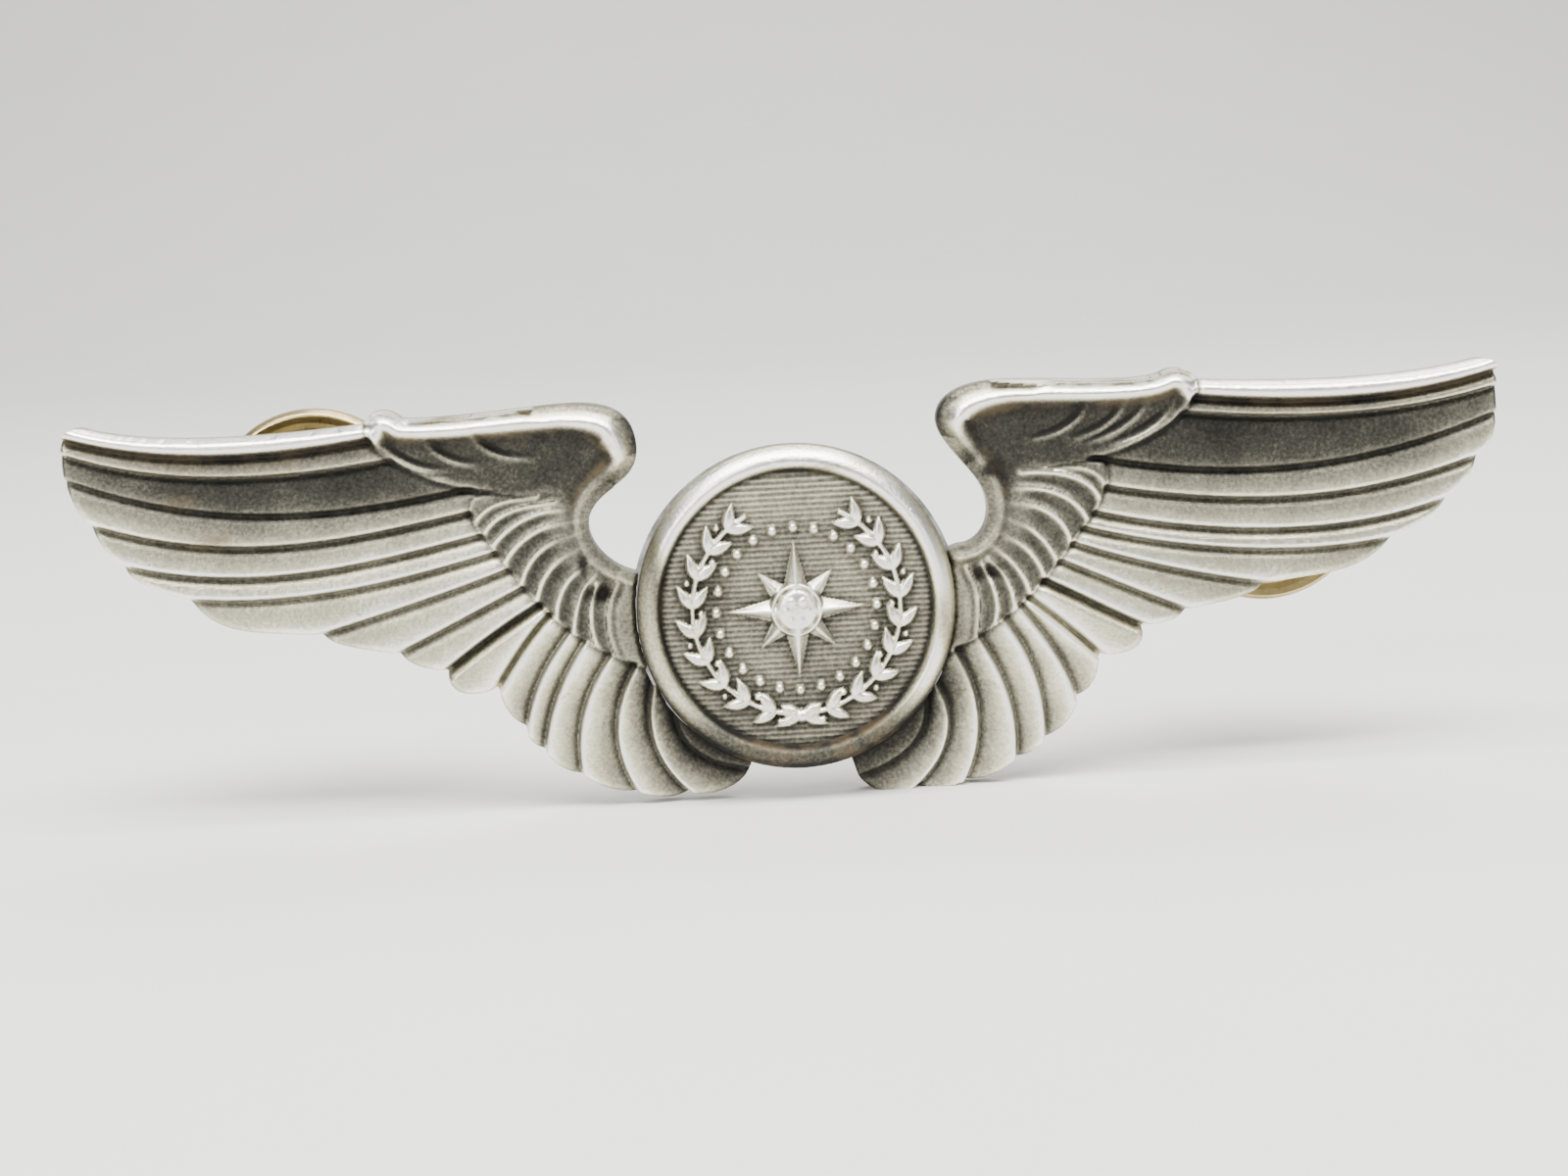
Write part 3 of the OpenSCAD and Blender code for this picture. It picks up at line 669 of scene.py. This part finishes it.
def relief_mesh(name, x, z, h, keep, back, wear, land=False):
    """Closed mesh of a height over the grid points that are kept, with walls to a flat back."""
    faces, used = kept_faces(keep)
    rim = open_edges(faces)
    order = list(rim)
    front = len(used)
    foot = {a: front + k for k, a in enumerate(rim)}
    xs, zs, hs = x.ravel()[used], z.ravel()[used], h.ravel()[used]
    px = np.concatenate([xs, xs[order]])
    pz = np.concatenate([zs, zs[order]])
    ph = np.concatenate([hs, np.full(len(order), back)])
    faces += [(b, a, foot[a], foot[b]) for a, b in rim.items()]
    faces += back_faces(rim, foot)
    verts = np.c_[px, -(LAND + ph), pz]
    if land:
        points, more = land_shell(len(verts))
        verts = np.vstack([verts, points])
        faces += more
    mesh = bpy.data.meshes.new(name)
    mesh.from_pydata((verts * MM).tolist(), [], faces)
    mesh.validate()
    for key, values in wear.items():
        full = np.full(len(verts), float(BACK[key]))
        full[:front] = values.ravel()[used]
        layer = mesh.attributes.new(key, "FLOAT", "POINT")
        layer.data.foreach_set("value", full.astype(np.float32))
    mesh.polygons.foreach_set("use_smooth", [True] * len(mesh.polygons))
    level = np.zeros(len(verts), int)
    level[order] = 1
    level[front:] = 2
    sharpen(mesh, level)
    mesh.update()
    return new_piece(name, mesh)


def new_piece(name, mesh):
    """Object of a mesh, put into the scene."""
    obj = bpy.data.objects.new(name, mesh)
    bpy.context.scene.collection.objects.link(obj)
    return obj


def worn(h, keep, step):
    """How far each point lies below (negative) or above its surroundings, fine and broad."""
    fine = h - smooth(h, keep, max(2, round((FINE_R / step) ** 2)))
    broad = h - smooth(h, keep, max(6, round((BROAD_R / step) ** 2)))
    return fine, broad


def build_wings():
    """Both wings and the bridge behind the medallion, as one struck piece."""
    outline = plate_outline()
    x, z, keep, depth = snapped_grid(outline, WING_STEP)
    h = np.zeros(x.shape)
    tone = np.full(x.shape, 0.4)
    stain = np.zeros(x.shape)
    for wing, sign in ((RIGHT, 1), (LEFT, -1)):
        half = keep & (sign * x > 0)
        relief = wing_relief(sign * x[half], z[half], wing, depth[half])
        h[half], tone[half], stain[half] = relief
    stain = add_spots(stain, x, z, WING_STAINS)
    # painted shade in the creases inside the arm's roll
    tone = add_spots(tone, x, z, WING_CREASE_SHADE)
    r = np.hypot(x / MED_WIDE, z / MED_TALL)
    h = np.where(r < MED_R + 0.1, np.minimum(h, SEAT), h)
    h = np.where(r < MED_R - 0.6, SEAT, h)
    h = h + (smooth(h, keep, 2) - h) * ease(depth / (3 * WING_STEP))
    # painted shade with patina: a darker ring round the foot of the medallion, and a broad darker
    # zone below it
    tone = tone - 0.25 * hill(r, MED_R, 0.35)
    tone = tone - 0.22 * hill(r, MED_R, 1.3) * ease((-2 - z) / 3)
    fade = ease(depth / 0.45)
    fine, broad = (np.where(v < 0, v * fade, v) for v in worn(h, keep, WING_STEP))
    wear = {"fine": fine, "broad": broad, "tone": tone, "stain": stain}
    return relief_mesh("wings", x, z, h, keep, 0, wear, land=True)


# ---------- relief of the medallion ----------

def leaf_height(x, z, cx, cz, turn, length, width):
    """Crowned leaf with a fine midrib, lying from (cx, cz) in direction turn."""
    u = (x - cx) * math.cos(turn) + (z - cz) * math.sin(turn)
    v = -(x - cx) * math.sin(turn) + (z - cz) * math.cos(turn)
    t = np.clip(u / length, 0, 1)
    half = width / 2 * np.sin(math.pi * t**0.8) ** 0.9 + 1e-4
    on = (u > 0) & (u < length) & (np.abs(v) < half)
    s = np.clip(np.abs(v) / half, 0, 1)
    body = 0.4 * np.sqrt(1 - s**2) * (0.5 + 0.5 * np.sin(math.pi * np.clip(t, 0.05, 1) ** 0.7))
    return np.where(on, body - 0.07 * hill(v, 0, 0.05), 0)


def star_height(x, z, turn, reach, waist, high):
    """Four pointed star with a sharp ridge along every point."""
    h = np.zeros(x.shape)
    for k in range(4):
        a = turn + k * math.pi / 2
        u = x * math.cos(a) + z * math.sin(a)
        v = -x * math.sin(a) + z * math.cos(a)
        half = np.where(u < waist, u, waist * (reach - u) / (reach - waist))
        on = (u > 0) & (half > 0) & (np.abs(v) < half)
        s = 1 - np.abs(v) / np.maximum(half, 1e-4)
        h = np.maximum(h, np.where(on, high * s * np.clip(0.35 + 0.65 * half / waist, 0, 1), 0))
    return h


def dome(q, r, high):
    """Round bead of radius r, for the distance q from its middle."""
    return high * np.sqrt(np.clip(1 - (q / r) ** 2, 0, 1))


def rose_height(x, z, r):
    """Eight pointed rose, with a ringed boss and six small ones round its middle."""
    h = star_height(x, z, math.pi / 4, 2.9, 0.75, 0.5)
    h = np.maximum(h, star_height(x, z, 0, 3.7, 0.78, 0.72))
    h = np.maximum(h, np.where(r < BOSS_R, 0.55, 0) + dome(r, BOSS_R, 0.32))
    h = np.maximum(h, dome(r - 1.3, 0.14, 0.6))
    for k in range(6):
        b = math.pi / 3 * k
        q = np.hypot(x - 0.58 * math.cos(b), z - 0.58 * math.sin(b))
        h = np.maximum(h, np.where(q < 0.2, 0.72 + dome(q, 0.2, 0.2), 0))
    return h


def branch_height(x, z, sign):
    """Leaves and berries of one laurel branch, and the two leaves at its foot."""
    h = np.zeros(x.shape)
    for k in range(LEAF_PAIRS):
        b = math.radians(LEAF_FIRST + LEAF_PITCH * k)
        cx, cz = BRANCH_R * math.cos(b) * sign, BRANCH_R * math.sin(b)
        for lean in (-LEAF_LEAN, LEAF_LEAN):
            along = b + math.pi / 2 + lean
            turn = along if sign > 0 else math.pi - along
            h = np.maximum(h, leaf_height(x, z, cx, cz, turn, 1.5, 0.7))
        reach = BRANCH_R + 0.46 * (-1) ** k
        q = np.hypot(x - reach * math.cos(b - 0.05) * sign, z - reach * math.sin(b - 0.05))
        h = np.maximum(h, dome(q, 0.19, 0.34))
    for turn, length in ((-0.35, 1.6), (0.45, 1.3)):
        t = turn if sign > 0 else math.pi - turn
        h = np.maximum(h, leaf_height(x, z, 0, -BRANCH_R - 0.1, t, length, 0.66))
    return h


def device_relief(x, z):
    """Eight pointed rose in a ring of beads, between two laurel branches."""
    r = np.hypot(x, z)
    h = rose_height(x, z, r)
    for k in range(BEADS):
        b = 2 * math.pi * k / BEADS
        q = np.hypot(x - BEAD_R * math.cos(b), z - BEAD_R * math.sin(b))
        h = np.maximum(h, dome(q, 0.3, 0.4))
    open_top = np.sin(np.arctan2(z, x)) < 0.9
    h = np.maximum(h, np.where(open_top, dome(r - BRANCH_R, 0.15, 0.3), 0))
    for sign in (-1, 1):
        h = np.maximum(h, branch_height(x, z, sign))
    knot = np.hypot(x / 1.1, z + BRANCH_R + 0.1)
    return np.maximum(h, dome(knot, 0.4, 0.5))


def medallion_relief(x, z):
    """Height of the medallion over the wing's back, and the mask of its device."""
    r = np.hypot(x, z)
    device = device_relief(x, z)
    lines = 0.06 * (0.5 + 0.5 * np.cos(2 * math.pi * z / LINE_PITCH))
    field = FIELD_Z + np.where(device > 0.02, device, lines)
    across = np.clip((r - MED_R + RIM_W) / RIM_W, 0, 1)
    rim = FIELD_Z - RIM_SINK + (RIM_H + RIM_SINK) * np.sin(math.pi * across**0.72) ** 0.75
    h = np.maximum(np.where(r < MED_R - RIM_W + 0.05, field, FIELD_Z - RIM_SINK), rim)
    return h, (device > 0.02) & (r < MED_R - RIM_W)


def build_medallion():
    """The separate disc, with its device, lined field and rounded rim."""
    a = np.linspace(0, 2 * math.pi, 361)[:-1]
    outline = np.c_[MED_R * MED_WIDE * np.cos(a), MED_R * MED_TALL * np.sin(a)]
    x, z, keep, _ = snapped_grid(outline, MED_STEP)
    h, device = medallion_relief(x / MED_WIDE, z / MED_TALL)
    h = smooth(h, keep, 1)
    near = smooth(device.astype(float), keep, round(2 * (0.3 / MED_STEP) ** 2))
    r = np.hypot(x / MED_WIDE, z / MED_TALL)
    line = 0.12 * np.cos(2 * math.pi * z / MED_TALL / LINE_PITCH)
    # painted shade: the field darker round the device, and the device darker at its thin edges
    # than in its thick middles
    tone = np.where(device, 0.6 + 0.35 * near, 0.52 - 0.45 * near + line * (1 - near))
    inner = MED_R - RIM_W
    on_rim = r > inner
    tone = np.where(on_rim, 0.9 - 0.25 * ease((inner + 0.35 - r) / 0.3), tone)
    # painted shade in the corner at the rim's inner foot
    tone = tone - 0.3 * hill(r, inner, 0.16)
    # painted shade on the rim's outer edge, growing towards the bottom
    tone = tone - 0.25 * ease((r - MED_R + 0.45) / 0.4) * ease((2 - z) / 6)
    # the rim painted darker on its lower and left sides and lighter towards the top: painted shade
    # and light; the lower side also gets brown stain
    low = np.where(on_rim, ease((-4 - z) / 3.5), 0)
    left = np.where(on_rim, ease((-x - 5) / 2.5) * ease((6 - z) / 5), 0)
    tone = tone + 0.14 * ease(z / 7) - 0.72 * low - 0.26 * left * (1 - low)
    stain = add_spots(1.3 * low, x, z, DISC_STAINS)
    tone = tone - 0.3 * stain * (1 - low)
    fine, broad = worn(h, keep, MED_STEP)
    wear = {"fine": fine, "broad": broad, "tone": tone, "stain": stain}
    return relief_mesh("medallion_disc", x, z, h, keep, MED_Z, wear)


# ---------- materials ----------

class Nodes:
    """Short way to write a node material."""

    def __init__(self, name):
        self.mat = bpy.data.materials.new(name)
        self.mat.use_nodes = True
        self.tree = self.mat.node_tree
        self.tree.nodes.clear()
        self.out = self.add("ShaderNodeOutputMaterial")
        self.shader = self.add("ShaderNodeBsdfPrincipled")
        self.link(self.shader.outputs[0], self.out.inputs["Surface"])
        self.place = self.add("ShaderNodeTexCoord").outputs["Object"]

    def add(self, kind, **values):
        node = self.tree.nodes.new(kind)
        for k, v in values.items():
            setattr(node, k, v)
        return node

    def link(self, a, b):
        self.tree.links.new(a, b)

    def put(self, value, socket):
        """Sets a socket to a value, or links it to another socket."""
        if isinstance(value, (int, float, tuple)):
            socket.default_value = value
        else:
            self.link(value, socket)

    def math(self, how, a, b=0.0, c=0.0, clamp=False):
        n = self.add("ShaderNodeMath", operation=how, use_clamp=clamp)
        for socket, value in zip(n.inputs, (a, b, c)):
            self.put(value, socket)
        return n.outputs[0]

    def noise(self, scale, detail=4.0, rough=0.55, stretch=None, distort=0.0):
        """Noise fixed to the object; scale is cells to the metre."""
        place = self.place
        if stretch:
            m = self.add("ShaderNodeMapping")
            self.link(place, m.inputs[0])
            m.inputs["Scale"].default_value = stretch
            place = m.outputs[0]
        n = self.add("ShaderNodeTexNoise")
        self.link(place, n.inputs["Vector"])
        n.inputs["Scale"].default_value = scale
        n.inputs["Detail"].default_value = detail
        n.inputs["Roughness"].default_value = rough
        n.inputs["Distortion"].default_value = distort
        return n.outputs[0]

    def attribute(self, name):
        return self.add("ShaderNodeAttribute", attribute_name=name).outputs["Fac"]

    def swing(self, noise, amount):
        """A noise from 0 to 1, turned into one about 0."""
        return self.math("MULTIPLY", self.math("SUBTRACT", noise, 0.5), amount)

    def band(self, value, low, high, a=0.0, b=1.0):
        """Smooth step of a value from low to high, as a value from a to b."""
        n = self.add("ShaderNodeMapRange", interpolation_type="SMOOTHSTEP")
        sockets = ("Value", "From Min", "From Max", "To Min", "To Max")
        for k, v in zip(sockets, (value, low, high, a, b)):
            self.put(v, n.inputs[k])
        return n.outputs[0]

    def mix(self, t, a, b):
        n = self.add("ShaderNodeMix", data_type="RGBA")
        self.put(t, n.inputs[0])
        self.put(a, n.inputs[6])
        self.put(b, n.inputs[7])
        return n.outputs[2]

    def ramp(self, value, stops):
        """Colour for a value, from a list of places and colours."""
        n = self.add("ShaderNodeValToRGB")
        self.link(value, n.inputs[0])
        stop = n.color_ramp.elements
        while len(stop) < len(stops):
            stop.new(0.5)
        for e, (at, colour) in zip(stop, stops):
            e.position = at
            e.color = (*colour, 1)
        return n.outputs[0]

    def bump(self, height, strength, reach, under=None):
        n = self.add("ShaderNodeBump")
        n.inputs["Strength"].default_value = strength
        n.inputs["Distance"].default_value = reach
        self.link(height, n.inputs["Height"])
        if under is not None:
            self.link(under, n.inputs["Normal"])
        return n.outputs[0]

    def set(self, **values):
        for k, v in values.items():
            self.put(v, self.shader.inputs[k.replace("_", " ")])
        return self.mat


def silver_material():
    """Old silver: polished on the high places, grey, then brown and black where it lies low, with
    the painted light and shade carried in its tone attribute.
    """
    n = Nodes("old_silver")
    fine = n.attribute("fine")
    broad = n.attribute("broad")
    blotch = n.noise(330, 5, 0.62)
    patch = n.noise(110, 4, 0.6)
    grain = n.noise(5200, 3, 0.6)
    speck = n.noise(2300, 4, 0.7)
    tone = n.attribute("tone")
    loose = n.band(tone, 0.3, 0.95, 0.62, 0.34)
    clean_and_lit = n.math("ADD", tone, n.math("MULTIPLY", fine, 0.8))
    clean_and_lit = n.math("ADD", clean_and_lit, n.math("MULTIPLY", broad, 0.8))
    for noise, amount in ((blotch, 0.4), (patch, 0.25), (grain, loose)):
        clean_and_lit = n.math("ADD", clean_and_lit, n.swing(noise, amount))
    pits = n.band(speck, 0.64, 0.74)
    clean_and_lit = n.math("SUBTRACT", clean_and_lit, n.math("MULTIPLY", pits, 0.22), clamp=True)
    colour = n.ramp(clean_and_lit, SILVER_STOPS)
    old = n.band(blotch, 0.35, 0.65, 0.0, 0.9)
    brown = n.math("ADD", old, n.band(patch, 0.55, 0.75, -0.25, 0.2))
    brown = n.math("MULTIPLY", brown, n.attribute("stain"), clamp=True)
    colour = n.mix(n.math("MULTIPLY", brown, 0.75), colour, (0.17, 0.125, 0.068, 1))
    rough = n.band(clean_and_lit, 0.1, 1.0, 0.62, 0.34)
    rough = n.math("ADD", rough, n.swing(grain, 0.2))
    scratch = n.noise(900, 3, 0.6, (1, 1, 14), 0.6)
    height = n.math("ADD", n.math("MULTIPLY", grain, 0.6), n.math("MULTIPLY", scratch, 0.3))
    height = n.math("SUBTRACT", height, n.math("MULTIPLY", pits, 0.5))
    return n.set(Base_Color=colour, Metallic=1.0, Roughness=rough,
                 Normal=n.bump(height, 0.8, 0.00005))


def post_material():
    """Nickel silver of the posts, satin and a little dull."""
    n = Nodes("nickel_silver")
    blotch = n.noise(500, 4)
    grain = n.noise(3000, 3)
    colour = n.mix(n.band(blotch, 0.35, 0.7), (0.66, 0.64, 0.58, 1), (0.42, 0.40, 0.35, 1))
    rough = n.math("ADD", n.math("MULTIPLY", grain, 0.2), 0.25)
    return n.set(Base_Color=colour, Metallic=1.0, Roughness=rough,
                 Normal=n.bump(grain, 0.2, 0.00003))


def solder_material():
    """Grey solder, rough where it froze."""
    n = Nodes("dull_solder")
    blotch = n.noise(900, 5, 0.65)
    grain = n.noise(4000, 4)
    colour = n.mix(n.band(blotch, 0.3, 0.7), (0.22, 0.22, 0.22, 1), (0.52, 0.53, 0.54, 1))
    rough = n.math("ADD", n.math("MULTIPLY", blotch, 0.3), 0.4)
    return n.set(Base_Color=colour, Metallic=0.9, Roughness=rough,
                 Normal=n.bump(n.math("ADD", blotch, grain), 0.7, 0.0001))


def brass_material():
    """Worn brass with dull patches and brown spots."""
    n = Nodes("worn_brass")
    blotch = n.noise(350, 5, 0.6)
    grain = n.noise(3500, 4, 0.6)
    spots = n.band(n.noise(1300, 4, 0.7), 0.58, 0.7)
    colour = n.mix(n.band(blotch, 0.35, 0.7), (0.64, 0.51, 0.24, 1), (0.40, 0.315, 0.14, 1))
    colour = n.mix(n.math("MULTIPLY", spots, 0.6), colour, (0.18, 0.13, 0.06, 1))
    rough = n.math("ADD", n.math("MULTIPLY", grain, 0.25), n.math("MULTIPLY", spots, 0.15))
    rough = n.math("ADD", rough, 0.2)
    return n.set(Base_Color=colour, Metallic=1.0, Roughness=rough,
                 Normal=n.bump(grain, 0.35, 0.00004))


def floor_material():
    """Pale floor with a faint mottle."""
    n = Nodes("pale_floor")
    mottle = n.noise(60, 4)
    colour = n.mix(mottle, (0.70, 0.69, 0.67, 1), (0.74, 0.73, 0.71, 1))
    return n.set(Base_Color=colour, Roughness=0.75)


def paint(obj, material):
    """Gives an object one material."""
    obj.data.materials.clear()
    obj.data.materials.append(material)


# ---------- stage ----------

def make_floor(material, height):
    """Pale floor that sweeps up behind the badge, so that the main view shows no horizon."""
    profile = [(-FLOOR_HALF, 0), (BEND_AT, 0)]
    for k in range(1, BEND_STEPS + 1):
        a = math.pi / 2 * k / BEND_STEPS
        profile.append((BEND_AT + BEND_R * math.sin(a), BEND_R * (1 - math.cos(a))))
    profile.append((BEND_AT + BEND_R, WALL_H))
    verts = [(x, y, height + z) for y, z in profile for x in (-FLOOR_HALF, FLOOR_HALF)]
    faces = [(2 * k, 2 * k + 1, 2 * k + 3, 2 * k + 2) for k in range(len(profile) - 1)]
    mesh = bpy.data.meshes.new("floor")
    mesh.from_pydata(verts, [], faces)
    mesh.polygons.foreach_set("use_smooth", [True] * len(mesh.polygons))
    floor = new_piece("floor", mesh)
    paint(floor, material)


def add_light(name, at, size, power):
    """Soft rectangular light that points at the middle of the badge."""
    data = bpy.data.lights.new(name, "AREA")
    data.shape = "RECTANGLE"
    data.size, data.size_y = size
    data.energy = power
    light = bpy.data.objects.new(name, data)
    bpy.context.scene.collection.objects.link(light)
    light.location = at
    light.rotation_euler = (Vector() - Vector(at)).to_track_quat("-Z", "Y").to_euler()


def make_lights():
    """Four soft lights and a pale grey world."""
    add_light("top", (0.0, -0.10, 0.36), (0.5, 0.2), 5.5)
    add_light("front_left", (-0.3, -0.4, 0.22), (0.2, 0.2), 1.4)
    add_light("front_right", (0.35, -0.4, 0.16), (0.16, 0.16), 0.5)
    add_light("behind", (0.1, 0.3, 0.4), (0.4, 0.2), 2.0)
    world = bpy.data.worlds.new("studio")
    world.use_nodes = True
    background = world.node_tree.nodes["Background"]
    background.inputs["Color"].default_value = (0.86, 0.87, 0.88, 1)
    background.inputs["Strength"].default_value = 0.24
    bpy.context.scene.world = world


def make_camera():
    """View from 10 degrees above the badge, a little to its left and rolled 3 degrees."""
    data = bpy.data.cameras.new("camera")
    data.lens = 56.25
    data.sensor_width = 36
    data.clip_start = 0.005
    data.clip_end = 10
    camera = bpy.data.objects.new("camera", data)
    bpy.context.scene.collection.objects.link(camera)
    tilt, turn, roll = (math.radians(a) for a in (10.17, 2.38, 2.85))
    rot = Matrix.Rotation(roll, 3, "Z") @ Matrix.Rotation(tilt, 3, "X")
    rot = rot @ Matrix.Rotation(turn, 3, "Y")
    centre = -(rot.transposed() @ BADGE_FROM_CAMERA)
    upright = Matrix(((1, 0, 0), (0, 0, -1), (0, 1, 0)))
    place = (upright @ rot.transposed()).to_4x4()
    place.translation = (upright @ centre + BADGE_MIDDLE) * MM
    camera.matrix_world = place
    bpy.context.scene.camera = camera


# ---------- the scene ----------

silver = silver_material()
brass = brass_material()
post_metal = post_material()
solder = solder_material()

wings = build_wings()
paint(wings, silver)
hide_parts("wings_plate")
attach(wings, "badge")

disc = build_medallion()
paint(disc, silver)
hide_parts("medallion")
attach(disc, "badge")

for name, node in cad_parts.items():
    if name.endswith(("cup", "frame", "spring", "lever_in", "lever_out")):
        paint(node, brass)
    elif name.endswith("solder"):
        paint(node, solder)
    elif name.endswith("post"):
        paint(node, post_metal)

make_camera()
make_lights()
make_floor(floor_material(), cad_low.z)
